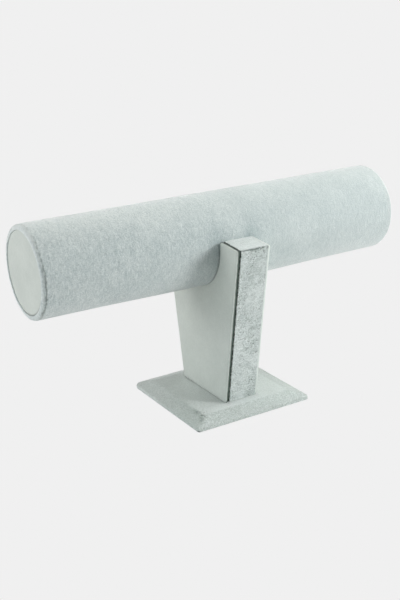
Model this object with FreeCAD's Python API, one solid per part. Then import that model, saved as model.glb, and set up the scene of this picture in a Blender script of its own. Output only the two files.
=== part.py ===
import FreeCAD, Part
import math
import os

# Bracelet display stand: a covered roll rests in the cradle of a covered pillar on a bevelled base.
# Sizes are in millimetres. X runs along the roll, the front faces -Y and Z is up. The origin is the
# middle of the underside.

# Cloth
CLOTH = 0.8  # velvet with its pile, on every covered piece

# Roll
ROLL_DIAMETER = 60.0  # over the cloth
ROLL_LENGTH = 268.0  # over the cloth
ROLL_AXIS_HEIGHT = 113.5  # above the table
TUBE_WALL = 1.8
RIM_ROUND = 2.6  # radius of the cloth where it turns over the tube's rim
TUCK_LENGTH = 12.0  # of the cover turned into the tube

# End discs
DISC_BOARD = 2.0
DISC_SUNK = 0.4  # of each disc's face behind the roll's end
DISC_TURN_IN = 8.0  # width of cloth glued behind the disc
DISC_CLEARANCE = 0.05

# Pillar
CORE_THICKNESS = 22.8
PANEL_BOARD = 0.6
PANEL_BOARD_ROUND = 0.25  # on the edges of the board's outer face
PANEL_PROUD = 0.2  # of the panels' edges beyond the edge band
PILLAR_FOOT_DEPTH = 54.4
PILLAR_CORNER_ROUND = 1.4
HORN_RISE = 3.5  # of the horns' outer corners above the roll's axis
HORN_SLOPE = 4.9  # degrees by which the horns' tops fall outwards
BACK_HORN = 9.2  # depth of the back horn, behind the cradle
HORN_OVERHANG = 0.7  # of the horns' tips past the base's front and back edges
CRADLE_CLEARANCE = 0.2  # of the edge band round the roll
PANEL_CLEARANCE = 1.2  # of the side panels round the roll
GROOVE = 1.9  # of bare core between the left panel and the edge band

# Base
BASE_WIDTH = 89.4  # over the cloth, along X
BASE_DEPTH = 89.4  # over the cloth, along Y
BASE_BOARD = 4.4
BASE_BOARD_LIP = 1.2  # height of the board's upright edge below its bevel
BASE_BOARD_ROUND = 1.2  # on the board's long edges, above and below the bevel
BASE_BOARD_CORNER = 4.5  # of the board's upright corners, in plan
BEVEL_INSET = 9.6
HEM = 12.0  # width of the cover turned under the board
UNDERLAY = 0.6
UNDERLAY_INSET = 3.0
UNDERLAY_CORNER_ROUND = 4.0

# Screws
SCREW_LENGTH = 30.0
SCREW_DIAMETER = 3.5
SCREW_HEAD_DIAMETER = 7.0
SCREW_TIP = 4.0
SCREW_SPACING = 30.0
SCREW_CLEARANCE = 0.05
RECESS_LENGTH = 3.6
RECESS_WIDTH = 0.8
RECESS_DEPTH = 1.2

# Worked out from the sizes above
ROLL_RADIUS = ROLL_DIAMETER / 2
TUBE_OUTER = ROLL_RADIUS - CLOTH
TUBE_INNER = TUBE_OUTER - TUBE_WALL
ROLL_MOUTH = TUBE_INNER - CLOTH
TUBE_HALF_LENGTH = ROLL_LENGTH / 2 - CLOTH
TURNED_RIM = min(RIM_ROUND, 0.9 * (CLOTH + TUBE_WALL))
TUBE_RIM = TURNED_RIM - CLOTH

BOARD_BOTTOM = UNDERLAY + CLOTH
BOARD_TOP = BOARD_BOTTOM + BASE_BOARD
BASE_TOP = BOARD_TOP + CLOTH
PILLAR_TOP = ROLL_AXIS_HEIGHT + HORN_RISE

CRADLE_CENTRE_HEIGHT = ROLL_AXIS_HEIGHT + CRADLE_CLEARANCE
BAND_CRADLE = ROLL_RADIUS + CRADLE_CLEARANCE
PANEL_CRADLE = ROLL_RADIUS + PANEL_CLEARANCE
PILLAR_TOP_DEPTH = BASE_DEPTH + 2 * HORN_OVERHANG
ROLL_SETBACK = PILLAR_TOP_DEPTH / 2 - BAND_CRADLE - BACK_HORN  # of the roll's axis behind the pillar's middle
SIDE_RUN = (PILLAR_TOP_DEPTH - PILLAR_FOOT_DEPTH) / 2
SIDE_RISE = PILLAR_TOP - BASE_TOP
LEAN = SIDE_RUN / SIDE_RISE
LEAN_STRETCH = math.hypot(1, LEAN)
FALL = math.tan(math.radians(HORN_SLOPE))
FALL_STRETCH = math.hypot(1, FALL)
CORE_INSET = PANEL_PROUD + CLOTH

X_AXIS = FreeCAD.Vector(1, 0, 0)
Z_AXIS = FreeCAD.Vector(0, 0, 1)
ORIGIN = FreeCAD.Vector(0, 0, 0)
SAME_POINT = 1e-6


def rounded_wire(corners, place):
    """Closed wire through corners (u, v, radius). place turns u, v into a point in space.

    A corner with a radius becomes an arc tangent to both its sides.
    """
    points = [place(u, v) for u, v, _ in corners]
    ends = []
    for index, (_, _, radius) in enumerate(corners):
        point = points[index]
        back = (points[index - 1] - point).normalize()
        ahead = (points[(index + 1) % len(points)] - point).normalize()
        if radius < SAME_POINT:
            ends.append((point, None, point))
            continue
        half_angle = back.getAngle(ahead) / 2
        setback = radius / math.tan(half_angle)
        bisector = (back + ahead).normalize()
        middle = point + bisector * (radius / math.sin(half_angle) - radius)
        ends.append((point + back * setback, middle, point + ahead * setback))
    edges = []
    for index, (start, middle, end) in enumerate(ends):
        before = ends[index - 1][2]
        if before.distanceToPoint(start) > SAME_POINT:
            edges.append(Part.LineSegment(before, start).toShape())
        if middle is not None:
            edges.append(Part.Arc(start, middle, end).toShape())
    return Part.Wire(edges)


def softened(solid, radius, is_soft):
    """The solid with a fillet of that radius on every edge for which is_soft holds."""
    edges = [edge for edge in solid.Edges if is_soft(edge)]
    return solid.makeFillet(radius, edges)


def mirrored(solid):
    """The solid's twin on the other side of the middle plane."""
    return solid.mirror(ORIGIN, X_AXIS)


# Roll


def turned_about_roll(corners):
    """Solid of revolution about the roll's axis.

    Each corner is (distance along the axis from the middle, distance from the axis, radius).
    """

    def place(along, out):
        return FreeCAD.Vector(along, ROLL_SETBACK, ROLL_AXIS_HEIGHT + out)

    section = Part.Face(rounded_wire(corners, place))
    return section.revolve(place(0, 0), X_AXIS, 360)


def roll_tube():
    """Board tube, open at both ends, with its outer rims rounded."""
    return turned_about_roll(
        [
            (-TUBE_HALF_LENGTH, TUBE_INNER, 0),
            (-TUBE_HALF_LENGTH, TUBE_OUTER, TUBE_RIM),
            (TUBE_HALF_LENGTH, TUBE_OUTER, TUBE_RIM),
            (TUBE_HALF_LENGTH, TUBE_INNER, 0),
        ]
    )


def roll_cover():
    """Cloth round the tube, turned over both rims and tucked into the bore."""
    end = ROLL_LENGTH / 2
    tuck = end - TUCK_LENGTH
    face_side = [
        (-tuck, ROLL_MOUTH, 0),
        (-end, ROLL_MOUTH, CLOTH),
        (-end, ROLL_RADIUS, TURNED_RIM),
        (end, ROLL_RADIUS, TURNED_RIM),
        (end, ROLL_MOUTH, CLOTH),
        (tuck, ROLL_MOUTH, 0),
    ]
    tube_side = [
        (tuck, TUBE_INNER, 0),
        (TUBE_HALF_LENGTH, TUBE_INNER, 0),
        (TUBE_HALF_LENGTH, TUBE_OUTER, TUBE_RIM),
        (-TUBE_HALF_LENGTH, TUBE_OUTER, TUBE_RIM),
        (-TUBE_HALF_LENGTH, TUBE_INNER, 0),
        (-tuck, TUBE_INNER, 0),
    ]
    return turned_about_roll(face_side + tube_side)


DISC_FACE = ROLL_LENGTH / 2 - DISC_SUNK
DISC_BOARD_FACE = DISC_FACE - CLOTH
DISC_BOARD_BACK = DISC_BOARD_FACE - DISC_BOARD
DISC_RADIUS = ROLL_MOUTH - DISC_CLEARANCE
DISC_BOARD_RADIUS = DISC_RADIUS - CLOTH


def disc_board():
    """Round board in the right end of the roll."""
    return turned_about_roll(
        [
            (DISC_BOARD_FACE, 0, 0),
            (DISC_BOARD_FACE, DISC_BOARD_RADIUS, 0),
            (DISC_BOARD_BACK, DISC_BOARD_RADIUS, 0),
            (DISC_BOARD_BACK, 0, 0),
        ]
    )


def disc_cover():
    """Cloth over the right disc's face and edge, with a ring turned in behind it."""
    back = DISC_BOARD_BACK - CLOTH
    opening = DISC_RADIUS - DISC_TURN_IN
    return turned_about_roll(
        [
            (DISC_FACE, 0, 0),
            (DISC_FACE, DISC_RADIUS, CLOTH),
            (back, DISC_RADIUS, 0),
            (back, opening, 0),
            (DISC_BOARD_BACK, opening, 0),
            (DISC_BOARD_BACK, DISC_BOARD_RADIUS, 0),
            (DISC_BOARD_FACE, DISC_BOARD_RADIUS, 0),
            (DISC_BOARD_FACE, 0, 0),
        ]
    )


# Pillar


def upright(inset, cradle, foot, start, end):
    """Slice of the pillar from x = start to x = end, its outline drawn in by inset all round.

    The outline has two sides that lean outwards, a horn at each side whose top falls outwards, and
    the cradle between them, whose walls stand upright above its middle. cradle is its radius there
    and foot the height of the lower edge.
    """

    def half_depth(height):
        return PILLAR_FOOT_DEPTH / 2 + (height - BASE_TOP) * LEAN - inset * LEAN_STRETCH

    def horn_top(depth):
        rise = (PILLAR_TOP_DEPTH / 2 - abs(depth)) * FALL
        return (depth, PILLAR_TOP + rise - inset * FALL_STRETCH, corner)

    def place(depth, height):
        return FreeCAD.Vector(start, depth, height)

    corner = max(PILLAR_CORNER_ROUND - inset, 0)
    drop = inset * (FALL_STRETCH - LEAN_STRETCH * FALL) / (1 + LEAN * FALL)
    horn_end = half_depth(PILLAR_TOP - drop)
    cradle_floor = CRADLE_CENTRE_HEIGHT - cradle
    outline = [
        (-half_depth(foot), foot, 0),
        horn_top(-horn_end),
        horn_top(ROLL_SETBACK - cradle),
        (ROLL_SETBACK - cradle, cradle_floor, cradle),
        (ROLL_SETBACK + cradle, cradle_floor, cradle),
        horn_top(ROLL_SETBACK + cradle),
        horn_top(horn_end),
        (half_depth(foot), foot, 0),
    ]
    return Part.Face(rounded_wire(outline, place)).extrude(X_AXIS * (end - start))


def core_block():
    """The pillar's board before its screw holes."""
    half = CORE_THICKNESS / 2
    return upright(CORE_INSET, BAND_CRADLE + CLOTH, BASE_TOP, -half, half)


def pillar_core():
    """Thick board that carries the roll, with a hole for each screw in its foot."""
    return core_block().cut(screw_holes())


def pillar_edge_band():
    """Strip of cloth up the front, over both horns and through the cradle, and down the back.

    It meets the right panel and stops a groove short of the left one.
    """
    half = CORE_THICKNESS / 2
    strip = upright(PANEL_PROUD, BAND_CRADLE, BASE_TOP, GROOVE - half, half)
    return strip.cut(core_block())


PANEL_BOARD_FACE = CORE_THICKNESS / 2 + PANEL_BOARD
PANEL_FACE = PANEL_BOARD_FACE + CLOTH


def with_soft_face(solid, face, radius):
    """The solid with its edges in the plane x = face rounded."""

    def in_face(edge):
        return edge.BoundBox.XMin > face - SAME_POINT

    return softened(solid, radius, in_face)


def panel_board():
    """Thin board on the right side of the core."""
    foot = BASE_TOP + CLOTH
    plate = upright(CLOTH, PANEL_CRADLE + CLOTH, foot, CORE_THICKNESS / 2, PANEL_BOARD_FACE)
    return with_soft_face(plate, PANEL_BOARD_FACE, PANEL_BOARD_ROUND)


def panel_cover():
    """Cloth over the face and edges of the right panel's board."""
    covered = upright(0, PANEL_CRADLE, BASE_TOP, CORE_THICKNESS / 2, PANEL_FACE)
    covered = with_soft_face(covered, PANEL_FACE, PANEL_BOARD_ROUND + CLOTH)
    return covered.cut(panel_board())


# Base


def base_form(grow):
    """Bevelled block with every face lying grow outside that of the base board.

    Its upright corners are rounded in plan, and so are its edges above and below the bevel.
    """
    bevel_rise = BASE_BOARD - BASE_BOARD_LIP
    bevel_length = math.hypot(BEVEL_INSET, bevel_rise)
    bottom = BOARD_BOTTOM - grow
    lip_top = BOARD_BOTTOM + BASE_BOARD_LIP + grow * (bevel_length - bevel_rise) / BEVEL_INSET
    top = BOARD_TOP + grow
    inset = BEVEL_INSET + grow - grow * (bevel_length - BEVEL_INSET) / bevel_rise

    def outline(height, drawn_in):
        half_width = BASE_WIDTH / 2 - CLOTH + grow - drawn_in
        half_depth = BASE_DEPTH / 2 - CLOTH + grow - drawn_in
        corner = BASE_BOARD_CORNER + grow
        corners = [
            (-half_width, -half_depth, corner),
            (half_width, -half_depth, corner),
            (half_width, half_depth, corner),
            (-half_width, half_depth, corner),
        ]
        return rounded_wire(corners, lambda u, v: FreeCAD.Vector(u, v, height))

    lip = Part.Face(outline(bottom, 0)).extrude(Z_AXIS * (lip_top - bottom))
    bevel = Part.makeLoft([outline(lip_top, 0), outline(top, inset)], True, True)
    block = lip.fuse(bevel).Solids[0]

    def is_level_above(edge):
        return edge.BoundBox.ZLength < SAME_POINT and edge.BoundBox.ZMax > bottom + SAME_POINT

    return softened(block, BASE_BOARD_ROUND + grow, is_level_above)


def hem_window(low, high):
    """Block that fills the space inside the hem, between two heights."""
    width = BASE_WIDTH - 2 * (CLOTH + HEM)
    depth = BASE_DEPTH - 2 * (CLOTH + HEM)
    return Part.makeBox(width, depth, high - low, FreeCAD.Vector(-width / 2, -depth / 2, low))


def base_board():
    """Bevelled board with two countersunk screw holes."""
    return base_form(0).cut(screw_holes())


def base_cover():
    """Cloth over the board, turned under it all round as a hem."""

    def is_bottom(edge):
        return edge.BoundBox.ZMax < UNDERLAY + SAME_POINT

    wrapped = softened(base_form(CLOTH), CLOTH, is_bottom)
    cover = wrapped.cut(base_form(0))
    cover = cover.cut(hem_window(UNDERLAY, BOARD_BOTTOM))
    return cover.cut(screw_holes())


def base_underlay():
    """Sheet under the base, raised inside the hem so that it lies against the board."""
    width = BASE_WIDTH - 2 * UNDERLAY_INSET
    depth = BASE_DEPTH - 2 * UNDERLAY_INSET
    corner = FreeCAD.Vector(-width / 2, -depth / 2, 0)
    sheet = Part.makeBox(width, depth, UNDERLAY, corner)

    def is_upright(edge):
        return edge.BoundBox.ZLength > UNDERLAY / 2

    sheet = softened(sheet, UNDERLAY_CORNER_ROUND, is_upright)
    return sheet.fuse(hem_window(UNDERLAY, BOARD_BOTTOM)).removeSplitter().Solids[0]


# Screws


def turned_upright(corners, depth):
    """Solid of revolution about the upright line at y = depth, from corners (radius, height)."""
    points = [FreeCAD.Vector(radius, depth, height) for radius, height in corners]
    section = Part.Face(Part.makePolygon(points + points[:1]))
    return section.revolve(FreeCAD.Vector(0, depth, 0), Z_AXIS, 360)


def screw_body(depth, clearance):
    """Countersunk wood screw, grown by clearance beside its shank and past its tip."""
    head = SCREW_HEAD_DIAMETER / 2
    shank = SCREW_DIAMETER / 2 + clearance
    tip = BOARD_BOTTOM + SCREW_LENGTH + clearance
    corners = [
        (0, BOARD_BOTTOM),
        (head, BOARD_BOTTOM),
        (shank, BOARD_BOTTOM + head - shank),
        (shank, tip - SCREW_TIP),
        (0, tip),
    ]
    return turned_upright(corners, depth)


def screw_holes():
    """What the screws take out of the base and the pillar."""
    return Part.makeCompound([screw_body(depth, SCREW_CLEARANCE) for depth in SCREW_DEPTHS])


def screw(depth):
    """One screw with a cross recess in its head."""
    body = screw_body(depth, 0)
    for length, width in ((RECESS_LENGTH, RECESS_WIDTH), (RECESS_WIDTH, RECESS_LENGTH)):
        corner = FreeCAD.Vector(-length / 2, depth - width / 2, BOARD_BOTTOM)
        body = body.cut(Part.makeBox(length, width, RECESS_DEPTH, corner))
    return body


SCREW_DEPTHS = (-SCREW_SPACING / 2, SCREW_SPACING / 2)


# Every piece in its place

NODES = {
    "roll_tube": roll_tube(),
    "roll_cover": roll_cover(),
    "right_disc_board": disc_board(),
    "right_disc_cover": disc_cover(),
    "left_disc_board": mirrored(disc_board()),
    "left_disc_cover": mirrored(disc_cover()),
    "pillar_core": pillar_core(),
    "pillar_edge_band": pillar_edge_band(),
    "right_panel_board": panel_board(),
    "right_panel_cover": panel_cover(),
    "left_panel_board": mirrored(panel_board()),
    "left_panel_cover": mirrored(panel_cover()),
    "base_board": base_board(),
    "base_cover": base_cover(),
    "base_underlay": base_underlay(),
    "base_screws": Part.makeCompound([screw(depth) for depth in SCREW_DEPTHS]),
}

os.makedirs("parts", exist_ok=True)
for name, shape in NODES.items():
    shape.exportStep("parts/" + name + ".step")
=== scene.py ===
import itertools
import math

import bmesh
import bpy
import numpy as np
from mathutils import Matrix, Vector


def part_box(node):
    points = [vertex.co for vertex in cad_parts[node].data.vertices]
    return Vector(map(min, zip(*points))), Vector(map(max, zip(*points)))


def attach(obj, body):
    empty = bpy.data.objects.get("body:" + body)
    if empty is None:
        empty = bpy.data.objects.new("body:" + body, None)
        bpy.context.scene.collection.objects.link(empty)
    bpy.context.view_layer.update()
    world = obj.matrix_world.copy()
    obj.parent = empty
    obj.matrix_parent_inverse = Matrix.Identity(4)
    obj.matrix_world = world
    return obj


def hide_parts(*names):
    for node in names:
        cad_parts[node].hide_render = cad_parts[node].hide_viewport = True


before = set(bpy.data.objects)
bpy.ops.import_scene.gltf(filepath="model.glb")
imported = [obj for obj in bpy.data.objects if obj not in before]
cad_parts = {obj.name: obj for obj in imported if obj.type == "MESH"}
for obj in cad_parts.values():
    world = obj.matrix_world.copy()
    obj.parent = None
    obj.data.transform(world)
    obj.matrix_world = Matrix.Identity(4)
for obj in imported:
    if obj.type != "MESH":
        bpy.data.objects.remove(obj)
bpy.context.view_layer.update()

# Bracelet display stand: a velvet-covered roll in the cradle of a velvet-covered pillar on a bevelled base.
# Lengths are in metres. X runs along the roll, the front faces -Y and Z is up.

MM = 0.001


# Sizes read from the frame


def middle(low, high):
    return (low + high) / 2


ROLL_LOW, ROLL_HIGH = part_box("roll_cover")
TUBE_LOW, TUBE_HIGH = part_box("roll_tube")
DISC_LOW, DISC_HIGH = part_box("right_disc_cover")
DISC_BOARD_LOW, DISC_BOARD_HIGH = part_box("right_disc_board")
PANEL_LOW, PANEL_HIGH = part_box("right_panel_cover")
_, PANEL_BOARD_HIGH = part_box("right_panel_board")
BAND_LOW, BAND_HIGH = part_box("pillar_edge_band")
BASE_LOW, BASE_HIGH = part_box("base_cover")
BOARD_LOW, BOARD_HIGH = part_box("base_board")

ROLL_END = ROLL_HIGH.x
ROLL_RADIUS = (ROLL_HIGH.z - ROLL_LOW.z) / 2
ROLL_HEIGHT = middle(ROLL_LOW.z, ROLL_HIGH.z)
ROLL_SETBACK = middle(ROLL_LOW.y, ROLL_HIGH.y)
TUBE_RADIUS = (TUBE_HIGH.z - TUBE_LOW.z) / 2
TUBE_END = TUBE_HIGH.x
CLOTH = ROLL_END - TUBE_END
DISC_RADIUS = (DISC_HIGH.z - DISC_LOW.z) / 2
DISC_FACE = DISC_HIGH.x
DISC_BOARD_FACE = DISC_BOARD_HIGH.x
DISC_BOARD_BACK = DISC_BOARD_LOW.x
CORE_FACE = PANEL_LOW.x
PANEL_FACE = PANEL_HIGH.x
PANEL_BOARD_FACE = PANEL_BOARD_HIGH.x
BASE_TOP = BASE_HIGH.z


def lowest_depth(node):
    """Half the depth of a node along its lowest edge."""
    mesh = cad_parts[node].data
    places = np.empty(len(mesh.vertices) * 3, np.float32)
    mesh.vertices.foreach_get("co", places)
    places = places.reshape(-1, 3)
    foot = places[places[:, 2] < places[:, 2].min() + 0.01 * MM]
    return float(np.abs(foot[:, 1]).max())


PILLAR_FOOT_HALF = lowest_depth("right_panel_cover")

# Sizes of the covers that the boxes don't give
TUBE_WALL = 1.8 * MM
BORE_RADIUS = TUBE_RADIUS - TUBE_WALL
MOUTH_RADIUS = BORE_RADIUS - CLOTH
TUCK_LENGTH = 12 * MM
RIM_ROUND = 2.34 * MM
MOUTH_ROUND = 0.3 * MM
DISC_ROUND = 0.4 * MM
DISC_TURN_IN = 8 * MM
PILLAR_TOP_HALF = 45.4 * MM
PILLAR_TOP = ROLL_HEIGHT + 3.5 * MM
HORN_SLOPE = math.radians(4.9)
PILLAR_CORNER = 1.4 * MM
CRADLE_GAP = 0.2 * MM
PANEL_GAP = 1.2 * MM
PANEL_PROUD = 0.2 * MM
PANEL_EDGE_ROUND = 1.05 * MM
PANEL_FILL = 0.62  # share of a panel cover's rectangle that is cloth
BAND_LEFT_ROUND = 0.5 * MM
BAND_RIGHT_ROUND = 0.1 * MM
BEVEL_INSET = 10.27 * MM
LIP_TOP = 3.18 * MM
BASE_CORNERS = (5.3 * MM, 6.0 * MM, 1.6 * MM, 2.8 * MM)  # back right, back left, front left, front right
RIDGE_ROUND = 12 * MM
LIP_ROUND = 1.0 * MM
HEM = 12 * MM


# Noise, grids and meshes


NOISE_VALUES = 4096
LATTICE_PRIMES = (73856093, 19349663, 83492791)


def soft_noise(places, cell, seed):
    """Smooth noise from -1 to 1.

    Each corner of a cubic lattice of that cell has a seeded random value, and a place takes the mean of
    its eight corners, weighted by smooth steps of its position in the cell.
    """
    values = np.random.default_rng(seed).uniform(-1, 1, NOISE_VALUES)
    scaled = places / cell
    low = np.floor(scaled).astype(np.int64)
    step = scaled - low
    step = step * step * (3 - 2 * step)
    total = np.zeros(places.shape[:-1])
    for corner in itertools.product((0, 1), repeat=3):
        at = (low + corner) * LATTICE_PRIMES
        spot = (at[..., 0] ^ at[..., 1] ^ at[..., 2]) % NOISE_VALUES
        total += values[spot] * np.prod(np.where(corner, step, 1 - step), axis=-1)
    return total


def ramp(value, low, high):
    """0 below low, 1 above high, and a smooth step between."""
    part = np.clip((value - low) / (high - low), 0, 1)
    return part * part * (3 - 2 * part)


def bell(value, width):
    """1 at zero, falling off as a Gaussian of that width."""
    return np.exp(-((value / width) ** 2))


def wrapped(angle):
    """The same angle between minus and plus half a turn, in radians."""
    return (angle + math.pi) % math.tau - math.pi


def run(start, end, steps):
    """Points from start up to, but not at, end."""
    part = np.arange(steps)[:, None] / steps
    return np.asarray(start) * (1 - part) + np.asarray(end) * part


def bend(centre, radius, start, end, steps):
    """Points on an arc from one angle up to, but not at, another, in radians."""
    angle = start + (end - start) * np.arange(steps) / steps
    return np.asarray(centre) + radius * np.stack([np.cos(angle), np.sin(angle)], axis=-1)


def rounded_profile(corners, spacing, arc_steps=6):
    """Points along a line through corners (u, v, radius), each corner an arc tangent to its two sides."""
    points = np.array([corner[:2] for corner in corners], float)
    radii = [corner[2] for corner in corners]
    parts = []
    before = points[0]
    for index in range(1, len(points) - 1):
        back = points[index - 1] - points[index]
        ahead = points[index + 1] - points[index]
        back /= np.linalg.norm(back)
        ahead /= np.linalg.norm(ahead)
        half = math.acos(np.clip(back @ ahead, -1, 1)) / 2
        setback = radii[index] / math.tan(half)
        centre = points[index] + (back + ahead) / np.linalg.norm(back + ahead) * radii[index] / math.sin(half)
        enter = points[index] + back * setback
        leave = points[index] + ahead * setback
        parts.append(run(before, enter, max(1, round(float(np.linalg.norm(enter - before)) / spacing))))
        first = math.atan2(*(enter - centre)[::-1])
        last = math.atan2(*(leave - centre)[::-1])
        turn = wrapped(last - first)
        if radii[index] > 0:
            parts.append(bend(centre, radii[index], first, first + turn, arc_steps))
        before = leave
    length = float(np.linalg.norm(points[-1] - before))
    parts.append(run(before, points[-1], max(1, round(length / spacing))))
    parts.append(points[-1:])
    return np.concatenate(parts)


SHARPEST_BEND = math.radians(50)
WELD_DISTANCE = 0.001 * MM


def closed_shell(name, grids):
    """Piece made of grids (points, wraps, outside), welded along the edges where they meet.

    points has rows and columns of places, wraps joins the last column to the first, and outside is 1 on
    the grids that show. An edge with a tighter bend than the sharpest one is shaded as a sharp edge.
    """
    vertices, faces, showing, offset = [], [], [], 0
    for points, wraps, outside in grids:
        rows, columns = points.shape[:2]
        index = np.arange(rows * columns).reshape(rows, columns) + offset
        if wraps:
            index = np.concatenate([index, index[:, :1]], axis=1)
        corners = [index[:-1, :-1], index[1:, :-1], index[1:, 1:], index[:-1, 1:]]
        faces.append(np.stack(corners, axis=-1).reshape(-1, 4))
        vertices.append(points.reshape(-1, 3))
        showing.append(np.full(rows * columns, float(outside)))
        offset += rows * columns
    mesh = bpy.data.meshes.new(name)
    mesh.from_pydata(np.concatenate(vertices), [], np.concatenate(faces).tolist())
    mesh.attributes.new("outside", "FLOAT", "POINT").data.foreach_set("value", np.concatenate(showing))
    shell = bmesh.new()
    shell.from_mesh(mesh)
    bmesh.ops.remove_doubles(shell, verts=shell.verts, dist=WELD_DISTANCE)
    bmesh.ops.recalc_face_normals(shell, faces=shell.faces)
    for edge in shell.edges:
        edge.smooth = edge.calc_face_angle(0) < SHARPEST_BEND
    shell.to_mesh(mesh)
    shell.free()
    mesh.shade_smooth()
    piece = bpy.data.objects.new(name, mesh)
    bpy.context.scene.collection.objects.link(piece)
    return piece


def places_of(piece):
    """The piece's vertices, as an array of places."""
    places = np.empty(len(piece.data.vertices) * 3)
    piece.data.vertices.foreach_get("co", places)
    return places.reshape(-1, 3)


def showing_of(piece):
    """1 for each vertex of the piece that shows, and 0 for each one on its hidden side."""
    showing = np.empty(len(piece.data.vertices))
    piece.data.attributes["outside"].data.foreach_get("value", showing)
    return showing


def raise_surface(piece, relief, most, swelling=0.0):
    """Moves each vertex that shows along its normal by relief, but no more than most, and by swelling."""
    height = np.minimum(relief, most) + swelling
    normals = np.empty(len(piece.data.vertices) * 3)
    piece.data.vertices.foreach_get("normal", normals)
    moved = places_of(piece) + normals.reshape(-1, 3) * (height * showing_of(piece))[:, None]
    piece.data.vertices.foreach_set("co", moved.ravel())
    piece.data.update()


def paint(piece, nap_and_painted_light=0.0, rough=0.0, edge_highlight=0.0, parting_and_shade=0.0):
    """Stores the layers that the piece's velvet reads, one value of each for every vertex."""
    for layer, values in (("nap_and_painted_light", nap_and_painted_light), ("rough", rough), ("edge_highlight", edge_highlight), ("parting_and_shade", parting_and_shade)):
        values = np.broadcast_to(values, len(piece.data.vertices)).astype(np.float32)
        piece.data.attributes.new(layer, "FLOAT", "POINT").data.foreach_set("value", values)


# Materials


def new_material(name, roughness, specular, sheen=0.0, sheen_roughness=0.5):
    material = bpy.data.materials.new(name)
    material.use_nodes = True
    shader = material.node_tree.nodes["Principled BSDF"]
    shader.inputs["Roughness"].default_value = roughness
    shader.inputs["Specular IOR Level"].default_value = specular
    shader.inputs["Sheen Weight"].default_value = sheen
    shader.inputs["Sheen Roughness"].default_value = sheen_roughness
    return material


def linear(colour):
    """An sRGB colour from 0 to 255 as linear light, with alpha."""
    part = np.array(colour) / 255
    light = np.where(part <= 0.04045, part / 12.92, ((part + 0.055) / 1.055) ** 2.4)
    return (*light, 1.0)


class Weave:
    """Short ways to add nodes to one material."""

    def __init__(self, material):
        self.tree = material.node_tree
        self.shader = self.tree.nodes["Principled BSDF"]
        self.place = self.tree.nodes.new("ShaderNodeTexCoord").outputs["Object"]

    def noise(self, size, detail=2.0, stretch=(1, 1, 1), distortion=0.0, roughness=0.5):
        """Noise with features of that size in metres, stretched along the axes."""
        mapping = self.tree.nodes.new("ShaderNodeMapping")
        mapping.inputs["Scale"].default_value = [1 / way for way in stretch]
        self.tree.links.new(self.place, mapping.inputs["Vector"])
        node = self.tree.nodes.new("ShaderNodeTexNoise")
        node.inputs["Scale"].default_value = 1 / size
        node.inputs["Detail"].default_value = detail
        node.inputs["Roughness"].default_value = roughness
        node.inputs["Distortion"].default_value = distortion
        self.tree.links.new(mapping.outputs["Vector"], node.inputs["Vector"])
        return node.outputs["Fac"]

    def layer(self, name):
        node = self.tree.nodes.new("ShaderNodeAttribute")
        node.attribute_name = name
        return node.outputs["Fac"]

    def maths(self, operation, first, second, third=None):
        node = self.tree.nodes.new("ShaderNodeMath")
        node.operation = operation
        for slot, value in zip(node.inputs, (first, second, third)):
            if isinstance(value, (int, float)):
                slot.default_value = value
            elif value is not None:
                self.tree.links.new(value, slot)
        return node.outputs["Value"]

    def above(self, value, low, high):
        """0 where the value is below low, 1 above high, and a straight ramp between."""
        node = self.tree.nodes.new("ShaderNodeMapRange")
        node.inputs["From Min"].default_value = low
        node.inputs["From Max"].default_value = high
        self.tree.links.new(value, node.inputs["Value"])
        return node.outputs["Result"]

    def spread(self, value, strength):
        """The noise value's distance from its middle, times strength."""
        return self.maths("MULTIPLY", self.maths("SUBTRACT", value, 0.5), strength)

    def blend(self, amount, first, second):
        node = self.tree.nodes.new("ShaderNodeMix")
        node.data_type = "RGBA"
        self.tree.links.new(amount, node.inputs["Factor"])
        for slot, value in ((node.inputs[6], first), (node.inputs[7], second)):
            if isinstance(value, tuple):
                slot.default_value = value
            else:
                self.tree.links.new(value, slot)
        return node.outputs[2]

    def colour(self, value):
        self.tree.links.new(value, self.shader.inputs["Base Color"])

    def relief(self, value, distance, strength=1.0):
        node = self.tree.nodes.new("ShaderNodeBump")
        node.inputs["Distance"].default_value = distance
        node.inputs["Strength"].default_value = strength
        self.tree.links.new(value, node.inputs["Height"])
        self.tree.links.new(node.outputs["Normal"], self.shader.inputs["Normal"])


SPECKLE_SIZE = 0.75 * MM
BRUSHED_SIZE = 2.6 * MM
CLOUD_SIZE = 26 * MM
FLECK_DEPTH = 0.55
# pale colour of a painted highlight along edges that catch the light
PAINTED_EDGE_HIGHLIGHT = (230, 239, 234)


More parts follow.
